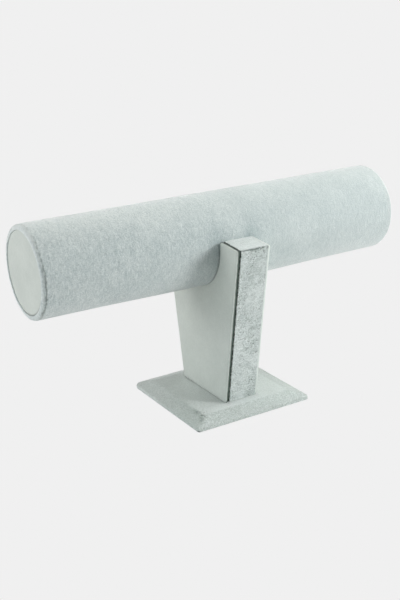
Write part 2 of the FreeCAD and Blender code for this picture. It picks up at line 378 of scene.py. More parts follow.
def velvet(name, dark, light, parted, grain, mottling, brushing, clouding, fleck, pile_relief):
    """Short-pile velvet.

    Its tone runs from dark to light with fine pile speckle, mottling drawn out along the axes by the
    brushing, and broad clouds of nap. The nap layer shifts the tone, and also carries painted highlights
    and painted shade. The rough layer raises the mottling and opens flecks of the given size in the pile.
    The edge highlight layer paints a pale highlight along edges that catch the light. The parting layer
    shows the parted colour where the pile opens at a fold, and also paints shade in grooves, in folds
    and where parts meet.
    """
    material = new_material(name, roughness=0.95, specular=0.15, sheen=0.55, sheen_roughness=0.4)
    weave = Weave(material)
    speckle = weave.noise(SPECKLE_SIZE, detail=2.0, roughness=0.6)
    brushed = weave.noise(BRUSHED_SIZE, detail=3.0, stretch=brushing, distortion=1.2)
    clouds = weave.noise(CLOUD_SIZE, detail=2.0)
    rough = weave.maths("ADD", weave.layer("rough"), 1.0)
    fine = weave.maths("ADD", weave.spread(speckle, grain), weave.spread(brushed, mottling))
    tone = weave.maths("MULTIPLY_ADD", fine, rough, 0.5)
    tone = weave.maths("ADD", tone, weave.spread(clouds, clouding))
    # the nap layer also carries painted highlights and painted shade
    tone = weave.maths("ADD", tone, weave.layer("nap_and_painted_light"))
    cloth = weave.blend(tone, linear(dark), linear(light))
    # painted highlight along edges that catch the light
    cloth = weave.blend(weave.layer("edge_highlight"), cloth, linear(PAINTED_EDGE_HIGHLIGHT))
    flecks = weave.above(weave.noise(fleck, detail=1.5), 0.55, 0.72)
    flecks = weave.maths("MULTIPLY", flecks, weave.layer("rough"))
    # dark flecks and pile parting, with painted shade in grooves, folds and where parts meet
    opened_and_shade = weave.maths("MULTIPLY_ADD", flecks, FLECK_DEPTH, weave.layer("parting_and_shade"))
    opened_and_shade = weave.maths("MINIMUM", opened_and_shade, 1.0)
    weave.colour(weave.blend(opened_and_shade, cloth, linear(parted)))
    height = weave.maths("MULTIPLY_ADD", brushed, 0.6, speckle)
    weave.relief(height, pile_relief)
    return material


def board_material(name, dark, light, grain):
    """Pressed board: two close tones in fine noise, with a faint surface tooth."""
    material = new_material(name, roughness=0.8, specular=0.3)
    weave = Weave(material)
    fibres = weave.noise(grain, detail=4.0, roughness=0.7)
    weave.colour(weave.blend(fibres, linear(dark), linear(light)))
    weave.relief(fibres, 0.05 * MM)
    return material


def zinc_plated_steel():
    """Bright zinc plating with fine streaks round the screw."""
    material = new_material("zinc_plated_steel", roughness=0.35, specular=0.5)
    weave = Weave(material)
    weave.shader.inputs["Metallic"].default_value = 1.0
    streaks = weave.noise(1.2 * MM, detail=3.0, stretch=(1, 1, 0.2))
    weave.colour(weave.blend(streaks, linear((168, 170, 172)), linear((204, 204, 200))))
    weave.relief(streaks, 0.02 * MM)
    return material


ROLL_VELVET = velvet(
    "roll_velvet",
    dark=(164, 178, 179),
    light=(215, 222, 220),
    parted=(88, 98, 94),
    grain=1.3,
    mottling=1.0,
    brushing=(0.6, 1.6, 1.6),
    clouding=0.45,
    fleck=1.25 * MM,
    pile_relief=0.30 * MM,
)
BAND_VELVET = velvet(
    "band_velvet",
    dark=(177, 188, 185),
    light=(222, 229, 227),
    parted=(84, 95, 90),
    grain=1.1,
    mottling=0.9,
    brushing=(1.8, 1.0, 0.8),
    clouding=0.5,
    fleck=1.1 * MM,
    pile_relief=0.30 * MM,
)
BASE_VELVET = velvet(
    "base_velvet",
    dark=(172, 182, 177),
    light=(219, 225, 223),
    parted=(82, 94, 88),
    grain=1.3,
    mottling=0.45,
    brushing=(1.0, 1.0, 1.0),
    clouding=0.2,
    fleck=0.85 * MM,
    pile_relief=0.24 * MM,
)
SMOOTH_VELVET = velvet(
    "smooth_velvet",
    dark=(184, 192, 186),
    light=(209, 215, 209),
    parted=(84, 94, 88),
    grain=0.45,
    mottling=0.6,
    brushing=(1.0, 1.0, 1.0),
    clouding=0.8,
    fleck=1.0 * MM,
    pile_relief=0.12 * MM,
)
GREY_BOARD = board_material("grey_board", (126, 118, 102), (150, 142, 126), 0.8 * MM)
RAW_FIBREBOARD = board_material("raw_fibreboard", (128, 100, 72), (166, 134, 100), 1.2 * MM)
# the core is coloured dark where it shows in the open groove, as painted shade
GROOVE_SHADE_CORE = board_material("core_groove_shade", (26, 36, 32), (122, 140, 130), 3.0 * MM)
FELT = board_material("pale_felt", (140, 150, 145), (172, 180, 176), 1.0 * MM)
STEEL = zinc_plated_steel()


# Roll


def about_roll(profile, steps, side=1):
    """Turns a profile of (distance along the roll, distance from its axis) once round the roll's axis.

    A point goes to x = side * along, y = setback - out * cos(angle), z = height + out * sin(angle), so
    that the angle is 0 at the front and a quarter turn at the top.
    """
    angle = np.arange(steps) * math.tau / steps
    along, out = profile[:, :1], profile[:, 1:]
    places = [
        np.broadcast_to(side * along, (len(profile), steps)),
        ROLL_SETBACK - out * np.cos(angle),
        ROLL_HEIGHT + out * np.sin(angle),
    ]
    return np.stack(places, axis=-1)


def round_the_roll(places):
    """Distance from the roll's axis, and angle about it, of each place."""
    depth = ROLL_SETBACK - places[:, 1]
    height = places[:, 2] - ROLL_HEIGHT
    return np.hypot(depth, height), np.arctan2(height, depth)


ROLL_STEPS = 288
END_LENGTH = 8 * MM  # at each end of the roll, where the steps are finest
CREASE_FROM_END = 2.0 * MM
CREASE_WIDTH = 0.5 * MM
CREASE_DEPTH = 0.25 * MM
CREASE_MIDDLE = math.radians(-8)
GATHERS = 64
GATHER_HEIGHT = 0.1 * MM
SEAM_ANGLE = -math.pi / 2 - 0.22
SEAM_WIDTH = 0.7 * MM
SEAM_DEPTH = 0.3 * MM
SWELLING = 1.08 * MM


def roll_profiles():
    """Profile along the face, over each rim and into the bore, and the one back against the tube."""
    tuck = ROLL_END - TUCK_LENGTH
    left_end = rounded_profile(
        [
            (-tuck, MOUTH_RADIUS, 0),
            (-ROLL_END, MOUTH_RADIUS, MOUTH_ROUND),
            (-ROLL_END, ROLL_RADIUS, RIM_ROUND),
            (-ROLL_END + END_LENGTH, ROLL_RADIUS, 0),
        ],
        spacing=0.4 * MM,
        arc_steps=8,
    )
    stops = (ROLL_END - END_LENGTH, CORE_FACE + 4 * MM, CORE_FACE - 1 * MM, 0)
    parts = [left_end[:-1]]
    for start, end, spacing in zip(stops, stops[1:], (1.6 * MM, 0.5 * MM, 1.6 * MM)):
        parts.append(run((-start, ROLL_RADIUS), (-end, ROLL_RADIUS), round((start - end) / spacing)))
    half = np.concatenate([*parts, [(0, ROLL_RADIUS)]])
    outer = np.concatenate([half[:-1], half[::-1] * (-1, 1)])
    right_end = np.array(
        [
            (tuck, MOUTH_RADIUS),
            (tuck, BORE_RADIUS),
            (TUBE_END, BORE_RADIUS),
            (TUBE_END, TUBE_RADIUS - CLOTH),
            (TUBE_END - CLOTH, TUBE_RADIUS),
        ]
    )
    return outer, np.concatenate([right_end, (right_end * (-1, 1))[::-1]])


def rim_crease(places, angle, from_end):
    """Crease where the pile parts beside each rim, wandering and broken, strongest at the left front."""
    wander = 0.4 * MM * soft_noise(places, 9 * MM, 11) + 0.45 * MM * soft_noise(places, 1.6 * MM, 10)
    toward_front = bell(wrapped(angle - CREASE_MIDDLE), 0.85)
    gaps = soft_noise(places, 1.7 * MM, 12) + 0.45 * soft_noise(places, 14 * MM, 13) + 0.9 * toward_front
    strength = ramp(gaps, -0.35, 0.75) * (0.25 + 0.75 * toward_front) * np.where(places[:, 0] < 0, 1, 0.3)
    return bell(from_end - CREASE_FROM_END - wander, CREASE_WIDTH) * strength


def rim_gathers(places, out, angle, from_end):
    """Gathers of the cloth on the rim and the ring beyond it, from -1 in a fold to 1 on a ridge."""
    rim = ramp(from_end, 3.2 * MM, 0.6 * MM) * ramp(out, ROLL_RADIUS - 3.4 * MM, ROLL_RADIUS - 1.2 * MM)
    uneven = 0.6 + 0.4 * soft_noise(places, 12 * MM, 14)
    return np.sin(GATHERS * angle + 2.2 * soft_noise(places, 10 * MM, 15)) * uneven * rim


def butted_seam(places, angle):
    """Seam along the underside, where the cloth's two edges meet, 1 along its middle."""
    wander = 0.35 * MM * soft_noise(places, 16 * MM, 16)
    return bell(ROLL_RADIUS * wrapped(angle - SEAM_ANGLE) + wander, SEAM_WIDTH)


def cradle_contact_shade(places, angle, past_core):
    """Painted shade along the line where the roll goes in between the horns, outside the panels."""
    beside_horn = ramp(0.14 - np.sin(angle), 0, 0.04) * ramp(np.abs(np.cos(angle)), 0.6, 0.85)
    uneven = 0.75 + 0.25 * soft_noise(places, 2 * MM, 20)
    return bell(past_core - 1.5 * MM, 0.6 * MM) * beside_horn * uneven


def roll_cover():
    """Velvet round the tube.

    The relief is the sum of broad ripples, the crease and gathers at each rim and the seam, with a
    swelling of the lower half against the cradle. The nap is brighter on the ring beyond the rims. A
    painted highlight lightens the top, most towards the left end, and painted shade darkens the roll
    beside the cradle, along the line where it goes in between the horns and in the valleys of the
    gathers. The pile is roughest at the left end.
    """
    outer, inner = roll_profiles()
    piece = closed_shell(
        "roll_velvet_cover",
        [(about_roll(outer, ROLL_STEPS), True, 1), (about_roll(inner, ROLL_STEPS), True, 0)],
    )
    places = places_of(piece)
    out, angle = round_the_roll(places)
    along = places[:, 0]
    from_end = ROLL_END - np.abs(along)
    past_core = np.abs(along) - CORE_FACE
    on_side = ramp(out, ROLL_RADIUS - 1.2 * MM, ROLL_RADIUS - 0.4 * MM)

    crease = rim_crease(places, angle, from_end) * on_side
    gathers = rim_gathers(places, out, angle, from_end)
    seam = butted_seam(places, angle) * on_side
    ripples = soft_noise(places, 22 * MM, 17) + 0.5 * soft_noise(places, 9 * MM, 18)
    relief = (
        0.05 * MM * ripples
        + 0.03 * MM * soft_noise(places, 2.2 * MM, 19)
        - CREASE_DEPTH * crease
        + GATHER_HEIGHT * gathers
        - SEAM_DEPTH * seam
    )
    swelling = ramp(past_core, 0, 0.6 * MM) * bell(np.maximum(past_core, 0), 60 * MM)
    swelling *= ramp(-np.sin(angle), -0.35, 0.15) * on_side
    raise_surface(piece, relief, most=0.1 * MM, swelling=SWELLING * swelling)

    ring = ramp(from_end, 2.6 * MM, 0.6 * MM) * ramp(out, MOUTH_RADIUS - 0.2 * MM, MOUTH_RADIUS)
    # painted highlight on the top of the roll, strongest towards the left end
    painted_top_highlight = ramp(np.sin(angle), 0.4, 1) * (0.05 + 0.28 * ramp(-along, -40 * MM, 100 * MM))
    # painted shade on the roll beside the cradle
    painted_shade_by_horn = bell(past_core - 2 * MM, 6 * MM) * bell(np.sin(angle) - 0.15, 0.45) * on_side
    # painted shade along the line where the roll meets the horns
    contact_shade = cradle_contact_shade(places, angle, past_core)
    # pile parting along the crease and seam, with painted shade in the gathers' valleys and along the cradle
    parting_and_shade = 0.75 * crease + 0.55 * seam + 0.18 * np.maximum(-gathers, 0) + 0.6 * contact_shade
    paint(
        piece,
        nap_and_painted_light=0.2 * ring + painted_top_highlight - 0.35 * painted_shade_by_horn,
        rough=0.25 * ramp(-along, 10 * MM, 100 * MM) - 0.3 * ramp(along, -20 * MM, 50 * MM),
        parting_and_shade=np.clip(parting_and_shade, 0, 1),
    )
    return piece


DISC_STEPS = 144
SEAM_SHADE_SIDE = -1.15  # angle about the roll's axis where the painted shade at the disc's edge is strongest, in radians


def disc_cover(side, name, seed):
    """Velvet over an end disc.

    Its profile goes from the middle of the face over a soft edge, behind the board to the turned-in
    ring, and back along the board. The face dips a little towards its edge, and painted shade darkens
    the edge, most of all underneath.
    """
    back = DISC_BOARD_BACK - CLOTH
    board = DISC_RADIUS - CLOTH
    opening = DISC_RADIUS - DISC_TURN_IN
    outer = rounded_profile(
        [
            (DISC_FACE, 0, 0),
            (DISC_FACE, DISC_RADIUS, DISC_ROUND),
            (back, DISC_RADIUS, 0.5 * CLOTH),
            (back, opening, 0),
        ],
        spacing=0.8 * MM,
        arc_steps=8,
    )
    inner = np.array(
        [
            (back, opening),
            (DISC_BOARD_BACK, opening),
            (DISC_BOARD_BACK, board),
            (DISC_BOARD_FACE, board),
            (DISC_BOARD_FACE, 0),
        ]
    )
    piece = closed_shell(
        name,
        [(about_roll(outer, DISC_STEPS, side), True, 1), (about_roll(inner, DISC_STEPS, side), True, 0)],
    )
    places = places_of(piece)
    out, angle = round_the_roll(places)
    on_face = ramp(np.abs(places[:, 0]), DISC_FACE - 1.5 * MM, DISC_FACE - 0.3 * MM)
    dip = -0.06 * MM * ramp(out, DISC_RADIUS - 7 * MM, DISC_RADIUS) * on_face
    ripples = 0.05 * MM * soft_noise(places, 13 * MM, seed) * on_face
    fray = 0.03 * MM * soft_noise(places, 1.5 * MM, seed + 1)
    raise_surface(piece, dip + ripples + fray, most=0.03 * MM)

    # painted shade along the disc's edge, in the seam against the roll's rim, strongest underneath
    edge = ramp(out, DISC_RADIUS - 0.8 * MM, DISC_RADIUS - 0.3 * MM)
    underneath = bell(angle - SEAM_SHADE_SIDE, 0.75)
    uneven = 0.8 + 0.2 * soft_noise(places, 3 * MM, seed + 2)
    paint(piece, parting_and_shade=edge * (0.05 + 0.75 * underneath) * uneven)
    return piece


# Pillar


SIDE_RUN = PILLAR_TOP_HALF - PILLAR_FOOT_HALF
SIDE_RISE = PILLAR_TOP - BASE_TOP
SIDE_LEAN = math.atan2(SIDE_RUN, SIDE_RISE)


def side_depth(height, inset):
    """Distance from the middle to the pillar's leaning side, drawn in by inset, at that height."""
    lean = (height - BASE_TOP) * math.tan(SIDE_LEAN)
    return PILLAR_FOOT_HALF + lean - inset / math.cos(SIDE_LEAN)


def horn_height(depth, inset):
    """Height of a horn's sloping top, drawn in by inset, at that distance from the middle."""
    rise = (PILLAR_TOP_HALF - depth) * math.tan(HORN_SLOPE)
    return PILLAR_TOP + rise - inset / math.cos(HORN_SLOPE)


CRADLE_HEIGHT = ROLL_HEIGHT + CRADLE_GAP
BAND_CRADLE = ROLL_RADIUS + CRADLE_GAP
PANEL_CRADLE = ROLL_RADIUS + PANEL_GAP
CRADLE_SPLIT = math.radians(58)  # below the level, where the cradle's walls end and its floor begins
CORNER_STEPS = 4
WALL_STEPS = 2


def half_outline(inset, cradle, shift, side_steps, top_steps):
    """One side of the pillar's outline, drawn in by inset, as points (distance outwards, height).

    outer goes from the middle of the horn's outer corner down the leaning side to the foot. inner goes
    from the middle of its inner corner down the wall and round the cradle, whose middle is at shift and
    whose radius is cradle. top joins their first points.
    """
    corner = max(PILLAR_CORNER - inset, 0.02 * MM)
    inside = inset + corner
    foot = BASE_TOP + inset
    drop = inside * (math.cos(SIDE_LEAN) - math.sin(HORN_SLOPE)) / math.cos(SIDE_LEAN - HORN_SLOPE)
    outer_centre = (side_depth(PILLAR_TOP - drop, inside), PILLAR_TOP - drop)
    inner_depth = shift + cradle + corner
    inner_centre = (inner_depth, horn_height(inner_depth, inside))
    upward = math.pi / 2 - HORN_SLOPE
    outer_middle = (upward - SIDE_LEAN) / 2
    inner_middle = (upward + math.pi) / 2
    crest = (corner * math.cos(upward), corner * math.sin(upward))
    side_start = (
        outer_centre[0] + corner * math.cos(SIDE_LEAN),
        outer_centre[1] - corner * math.sin(SIDE_LEAN),
    )
    foot_corner = (side_depth(foot, inset), foot)
    outer = [
        bend(outer_centre, corner, outer_middle, -SIDE_LEAN, CORNER_STEPS),
        run(side_start, foot_corner, side_steps),
        [foot_corner],
    ]
    cradle_end = (
        shift + cradle * math.cos(CRADLE_SPLIT),
        CRADLE_HEIGHT - cradle * math.sin(CRADLE_SPLIT),
    )
    inner = [
        bend(inner_centre, corner, inner_middle, math.pi, CORNER_STEPS),
        run((shift + cradle, inner_centre[1]), (shift + cradle, CRADLE_HEIGHT), WALL_STEPS),
        bend((shift, CRADLE_HEIGHT), cradle, 0, -CRADLE_SPLIT, side_steps - WALL_STEPS),
        [cradle_end],
    ]
    top = [
        bend(outer_centre, corner, outer_middle, upward, CORNER_STEPS),
        run(np.add(outer_centre, crest), np.add(inner_centre, crest), top_steps),
        bend(inner_centre, corner, upward, inner_middle, CORNER_STEPS),
        inner[0][:1],
    ]
    return [np.concatenate(part) for part in (outer, inner, top)]


def outline(inset, cradle, side_steps, foot_steps, top_steps):
    """The whole outline drawn in by inset, with a cradle of that radius, as points (y, z).

    It is the outer chain from horn to horn by way of the foot, the inner one by way of the cradle, and
    the tops of the front and back horns.
    """
    halves = []
    for way in (-1, 1):
        parts = half_outline(inset, cradle, way * ROLL_SETBACK, side_steps, top_steps)
        halves.append([part * (way, 1) for part in parts])
    (front_outer, front_inner, front_top), (back_outer, back_inner, back_top) = halves
    foot = run(front_outer[-1], back_outer[-1], foot_steps)[1:]
    centre = (ROLL_SETBACK, CRADLE_HEIGHT)
    floor = bend(centre, cradle, math.pi + CRADLE_SPLIT, math.tau - CRADLE_SPLIT, foot_steps)[1:]
    outer = np.concatenate([front_outer, foot, back_outer[::-1]])
    inner = np.concatenate([front_inner, floor, back_inner[::-1]])
    return outer, inner, front_top, back_top


def patch(outer, inner, first, last):
    """Surface between four chains: the mean of the two ruled surfaces, less the one through the corners."""
    along = np.linspace(0, 1, len(outer))[:, None, None]
    across = np.linspace(0, 1, len(first))[None, :, None]
    ruled = (1 - across) * outer[:, None] + across * inner[:, None]
    other = (1 - along) * first[None] + along * last[None]
    corners = (1 - along) * ((1 - across) * outer[0] + across * inner[0])
    corners = corners + along * ((1 - across) * outer[-1] + across * inner[-1])
    return ruled + other - corners


def once_round(outer, inner, first, last):
    """The four chains as one closed ring of points."""
    return np.concatenate([outer[:-1], last[:-1], inner[::-1][:-1], first[::-1][:-1]])


def at_side(points, x):
    """Points (y, z) as places at that x."""
    return np.concatenate([np.full((*points.shape[:-1], 1), x), points], axis=-1)


PANEL_STEPS = (56, 28, 26)  # down a side, along the foot and over a horn


def rolled_edge(face, edge_round, inset, side, rows=7):
    """Rings (inset, x) from the flat of a plate over its rounded edge to the core's side."""
    turn = np.linspace(math.pi / 2, 0, rows)
    drawn_in = inset + edge_round * (1 - np.cos(turn))
    height = face - edge_round * (1 - np.sin(turn))
    rings = [(d, side * x) for d, x in zip(drawn_in, height)]
    return [*rings, (inset, side * CORE_FACE)]


def panel_cover(side, name, seed):
    """Velvet over a side panel's board.

    Its face is a patch between the leaning sides and the cradle. Rings carry it over the rounded edge
    to the core and back against the board. Painted shade darkens it along the foot, most towards the
    back, and beside the left panel's groove. A painted highlight lightens the face's edge, more on the
    right panel.
    """

    def chains(inset):
        return outline(inset, PANEL_CRADLE + inset, *PANEL_STEPS)

    def plate(face, edge_round, inset):
        rings = rolled_edge(face, edge_round, inset, side)
        flat = at_side(patch(*chains(rings[0][0])), side * face)
        return flat, np.stack([at_side(once_round(*chains(drawn_in)), x) for drawn_in, x in rings])

    face, edge = plate(PANEL_FACE, PANEL_EDGE_ROUND, 0)
    board_face, board_edge = plate(PANEL_BOARD_FACE, PANEL_EDGE_ROUND - CLOTH, CLOTH)
    foot = np.stack([edge[-1], board_edge[-1]])
    piece = closed_shell(
        name,
        [(face, False, 1), (edge, True, 1), (foot, True, 0), (board_edge, True, 0), (board_face, False, 0)],
    )
    places = places_of(piece)
    out = np.abs(places[:, 0])
    on_face = ramp(out, PANEL_FACE - 1.2 * MM, PANEL_FACE)
    ripples = soft_noise(places, 20 * MM, seed) + 0.4 * soft_noise(places, 7 * MM, seed + 1)
    fray = soft_noise(places, 1.4 * MM, seed + 2)
    raise_surface(piece, 0.06 * MM * ripples + 0.05 * MM * fray * (1 - on_face), most=0.12 * MM)

    above_foot = places[:, 2] - BASE_TOP
    toward_back = ramp(places[:, 1], 4 * MM, 20 * MM)
    # painted shade where the panel meets the base, deeper towards the back
    contact_shade = bell(above_foot, (0.5 + 0.25 * fray + 0.3 * toward_back) * MM) * (0.4 + 0.5 * toward_back)
    past_core = out - CORE_FACE
    # painted shade on the left panel's edge beside the open groove
    groove_edge_shade = 0.8 * ramp((0.55 + 0.2 * fray) * MM - past_core, 0, 0.3 * MM) * (side < 0)
    rim = ramp(PANEL_FACE - out, 0.1 * MM, 0.5 * MM)
    below_top = 1 - 0.5 * ramp(places[:, 2], PILLAR_TOP - 2 * MM, PILLAR_TOP)
    # painted highlight along the face's edge, stronger on the right panel, which faces the lamps
    highlight_strength = 0.6 if side > 0 else 0.3
    paint(piece, edge_highlight=highlight_strength * rim * below_top, parting_and_shade=np.clip(contact_shade + groove_edge_shade, 0, 1))
    return piece


BAND_STEPS = (110, 36, 20)  # down a side, round the cradle's floor and over a horn


def band_crease(places):
    """Broken crease where the velvet folds over the outer corners of the horns."""
    depth_gap = np.abs(places[:, 1]) - (PILLAR_TOP_HALF - 0.6 * MM)
    height_gap = places[:, 2] - (PILLAR_TOP - 0.6 * MM)
    broken = ramp(soft_noise(places, 1.5 * MM, 41) + 0.3 * soft_noise(places, 5 * MM, 42), -0.45, 0.2)
    return bell(np.hypot(depth_gap, height_gap), 0.9 * MM) * broken


def up_and_over(section):
    """The section's points (x, inset) carried up the front, over the horns and cradle and down again."""
    rows = []
    for x, inset in section:
        radius = BAND_CRADLE + inset - PANEL_PROUD
        outer, cradle, front_top, back_top = outline(inset, radius, *BAND_STEPS)
        front = outer[: CORNER_STEPS + BAND_STEPS[0] + 1]
        back = outer[-len(front):][::-1]
        path = np.concatenate([front[::-1], front_top[1:], cradle[1:], back_top[::-1][1:], back[1:]])
        path[[0, -1], 1] = BASE_TOP
        rows.append(at_side(path, x))
    return np.stack(rows)


def edge_band():
    """Velvet strip up the front, over both horns and through the cradle, and down the back.

    Its section runs from the groove's edge over the face to the right panel, and each of its points
    follows the pillar's outline at its own inset. The pile is frayed along the groove, where painted
    shade darkens the band's wall. It swells and has a painted highlight along the right panel, and is
    brushed rough on the front.
    """
    left, right = BAND_LOW.x, BAND_HIGH.x
    inner = PANEL_PROUD + CLOTH
    section = rounded_profile(
        [
            (left, inner, 0),
            (left, PANEL_PROUD, BAND_LEFT_ROUND),
            (right, PANEL_PROUD, BAND_RIGHT_ROUND),
            (right, inner, 0),
        ],
        spacing=0.6 * MM,
        arc_steps=5,
    )
    shown = up_and_over(section)
    hidden = up_and_over(np.linspace(section[0], section[-1], len(section)))
    caps = [np.stack([shown[:, end], hidden[:, end]]) for end in (0, -1)]
    piece = closed_shell(
        "pillar_velvet_band",
        [(shown, False, 1), (hidden, False, 0), (caps[0], False, 0), (caps[1], False, 0)],
    )
    places = places_of(piece)
    across, depth, height = places.T
    outside_cradle = 1 - ramp(BAND_CRADLE + 1.5 * MM - round_the_roll(places)[0], 0, 1 * MM)
    crease = band_crease(places)
    near_groove = bell(across - left, 0.8 * MM)
    near_panel = bell(across - right, 0.7 * MM) * outside_cradle
    ripples = soft_noise(places, 11 * MM, 43) + 0.6 * soft_noise(places, 4 * MM, 44)
    fray = soft_noise(places, 1.2 * MM, 45)
    relief = 0.05 * MM * ripples - 0.3 * MM * crease + 0.08 * MM * fray * near_groove
    raise_surface(piece, relief, most=0.15 * MM, swelling=0.15 * MM * near_panel)

    on_top = ramp(height, PILLAR_TOP - 1.5 * MM, PILLAR_TOP)
    groove_edge = left + (0.20 + 0.25 * on_top + 0.30 * soft_noise(places, 1.3 * MM, 48)) * MM
    # painted shade on the band's wall in the open groove
    groove_wall_shade = ramp(groove_edge - across, 0, 0.25 * MM) * outside_cradle
    # painted highlight along the right edge, where the band meets the right panel
    edge_highlight = ramp(across - right, -0.7 * MM, -0.3 * MM) * outside_cradle * (1 - 0.6 * on_top)
    below_top = ramp(PILLAR_TOP - height, 0, 2 * MM)
    on_front = ramp(-depth, PILLAR_FOOT_HALF - 2 * MM, PILLAR_FOOT_HALF) * below_top
    off_edge = ramp(right - across, 0.2 * MM, 0.8 * MM)
    brushed = soft_noise(places * (1, 1, 0.6), 7 * MM, 46) + 0.6 * soft_noise(places, 3 * MM, 47)
    upper = ramp(height, 70 * MM, 112 * MM)
    paint(
        piece,
        nap_and_painted_light=on_front * (0.24 * brushed - 0.25 * upper),
        rough=on_front * off_edge * np.clip(0.85 - 0.8 * brushed + 0.35 * upper, 0, 1.9),
        edge_highlight=0.5 * edge_highlight,
        parting_and_shade=np.clip(0.9 * crease + 0.9 * groove_wall_shade, 0, 1),
    )
    return piece


# Base


BASE_HALF_WIDTH = BASE_HIGH.x
BASE_HALF_DEPTH = BASE_HIGH.y
BASE_BOTTOM = BASE_LOW.z
BOARD_BOTTOM = BOARD_LOW.z
BOARD_TOP = BOARD_HIGH.z
BASE_SIDE_STEPS = 120
BASE_CORNER_STEPS = 12


def base_ring(drawn_in, height):
    """Rounded rectangle drawn in from the base's edge, at that height.

    Its corners get tighter as it is drawn in, and it closes to a point when nothing is left.
    """
    width = max(BASE_HALF_WIDTH - drawn_in, 0)
    depth = max(BASE_HALF_DEPTH - drawn_in, 0)
    radii = [min(max(corner - 0.25 * drawn_in, 1.2 * MM), width, depth) for corner in BASE_CORNERS]
    parts = []
    for quarter in range(4):
        turn = quarter * math.pi / 2
        across, along = (width, depth) if quarter % 2 == 0 else (depth, width)
        way = np.array([[math.cos(turn), math.sin(turn)], [-math.sin(turn), math.cos(turn)]])
        before, corner = radii[quarter - 1], radii[quarter]
        side = run((across, before - along), (across, along - corner), BASE_SIDE_STEPS)
        round_corner = bend((across - corner, along - corner), corner, 0, math.pi / 2, BASE_CORNER_STEPS)
        parts.append(np.concatenate([side, round_corner]) @ way)
    ring = np.concatenate(parts)
    return np.concatenate([ring, np.full((len(ring), 1), height)], axis=-1)


def base_profiles():
    """Profile from the middle of the top down the bevel to the hem, and the one back along the board."""
    outer = rounded_profile(
        [
            (BASE_HALF_WIDTH, BASE_TOP, 0),
            (BEVEL_INSET, BASE_TOP, RIDGE_ROUND),
            (0, LIP_TOP, LIP_ROUND),
            (0, BASE_BOTTOM, CLOTH),
            (CLOTH + HEM, BASE_BOTTOM, 0),
        ],
        spacing=0.9 * MM,
        arc_steps=8,
    )
    inner = np.array(
        [
            (CLOTH + HEM, BASE_BOTTOM),
            (CLOTH + HEM, BOARD_BOTTOM),
            (CLOTH, BOARD_BOTTOM),
            (CLOTH, LIP_TOP - 0.5 * CLOTH),
            (BEVEL_INSET, BOARD_TOP),
            (BASE_HALF_WIDTH, BOARD_TOP),
        ]
    )
    return outer, inner


def parted_corner(places, from_side, from_end):
    """Broken parting at the front left corner of the top, along its mitre and back along its ridge."""
    across, along = places[:, 0], places[:, 1]
    drawn_in = np.minimum(from_side, from_end)
    off_mitre = (from_side - from_end) / math.sqrt(2) + 0.8 * MM * soft_noise(places, 4 * MM, 51)
    mitre = bell(off_mitre + 0.6 * MM, 1.9 * MM) * bell(drawn_in - BEVEL_INSET + 1 * MM, 5 * MM)
    mitre *= (across < 0) & (along < 0)
    behind_corner = along + BASE_HALF_DEPTH - BEVEL_INSET
    fringe = bell(from_side - BEVEL_INSET + 0.8 * MM, 1.8 * MM) * ramp(behind_corner, -2 * MM, 1 * MM)
    fringe *= ramp(behind_corner, 15 * MM, 4 * MM) * (across < 0)
    broken = ramp(soft_noise(places, 1.1 * MM, 52) + 0.4 * soft_noise(places, 6 * MM, 53), -0.6, 0.9)
    return np.maximum(mitre, fringe) * broken * ramp(drawn_in, 1.5 * MM, 4 * MM)


def parted_tips(places, from_side, from_end):
    """Open pile at the foot of the four corners, most at the front left one."""
    near_floor = ramp(BASE_BOTTOM + 1.8 * MM - places[:, 2], 0, 1 * MM)
    front_left = (places[:, 0] < 0) & (places[:, 1] < 0)
    tip = bell(from_side, 1.6 * MM) * bell(from_end, 1.6 * MM) * near_floor
    return tip * np.where(front_left, 1, 0.35)


def base_cover():
    """Velvet over the bevelled base board.

    Rings follow its profile from the middle of the top over the soft ridge and down the bevel, under
    the edge to the hem, and back along the board. The front bevel is a little darker, painted shade
    darkens the side bevels, and a painted pool of light brightens the top before the pillar.
    """
    grids = []
    for profile, shows in zip(base_profiles(), (1, 0)):
        grids.append((np.stack([base_ring(*point) for point in profile]), True, shows))
    piece = closed_shell("base_velvet_cover", grids)

    places = places_of(piece)
    across, along, height = places.T
    from_side = BASE_HALF_WIDTH - np.abs(across)
    from_end = BASE_HALF_DEPTH - np.abs(along)
    parted = parted_corner(places, from_side, from_end)
    tips = parted_tips(places, from_side, from_end)
    ripples = soft_noise(places, 12 * MM, 54) + 0.5 * soft_noise(places, 4.5 * MM, 55)
    above = ramp(height, BASE_BOTTOM + 0.4 * MM, BASE_BOTTOM + 1.4 * MM)
    raise_surface(piece, above * (0.07 * MM * ripples - 0.2 * MM * parted), most=0.15 * MM)

    brushed = soft_noise(places, 6 * MM, 56) + 0.7 * soft_noise(places, 2.6 * MM, 57)
    bevel = ramp(BEVEL_INSET - np.minimum(from_side, from_end), -1.5 * MM, 1 * MM)
    front = bevel * ramp(from_side - from_end, -1 * MM, 1 * MM) * (along < 0)
    beside = bevel * ramp(from_end - from_side, -1 * MM, 1 * MM)
    # painted shade on the side bevels, on the left one towards the front
    painted_side_shade = np.where(across > 0, 0.26, 0.3 * ramp(-along, -20 * MM, 30 * MM))
    before_pillar = ramp(-along, PILLAR_FOOT_HALF - 2 * MM, PILLAR_FOOT_HALF + 3 * MM)
    # painted pool of light on the top in front of the pillar
    painted_light_patch = (1 - bevel) * before_pillar * bell(across + 10 * MM, 17 * MM)
    paint(
        piece,
        nap_and_painted_light=bevel * 0.04 * brushed - 0.12 * front - painted_side_shade * beside + 0.25 * painted_light_patch,
        rough=0.35 * bevel + 0.35 * front,
        parting_and_shade=np.clip(0.85 * parted + 0.95 * tips, 0, 1),
    )
    return piece


# Putting the covers on


def dress(piece, material, slot, cut, area, *nodes):
    """The piece, a glued-on cloth, rides on the stand and replaces its plain covers. Its cut is not used."""
    piece.data.materials.append(material)
    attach(piece, "root")
    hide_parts(*nodes)


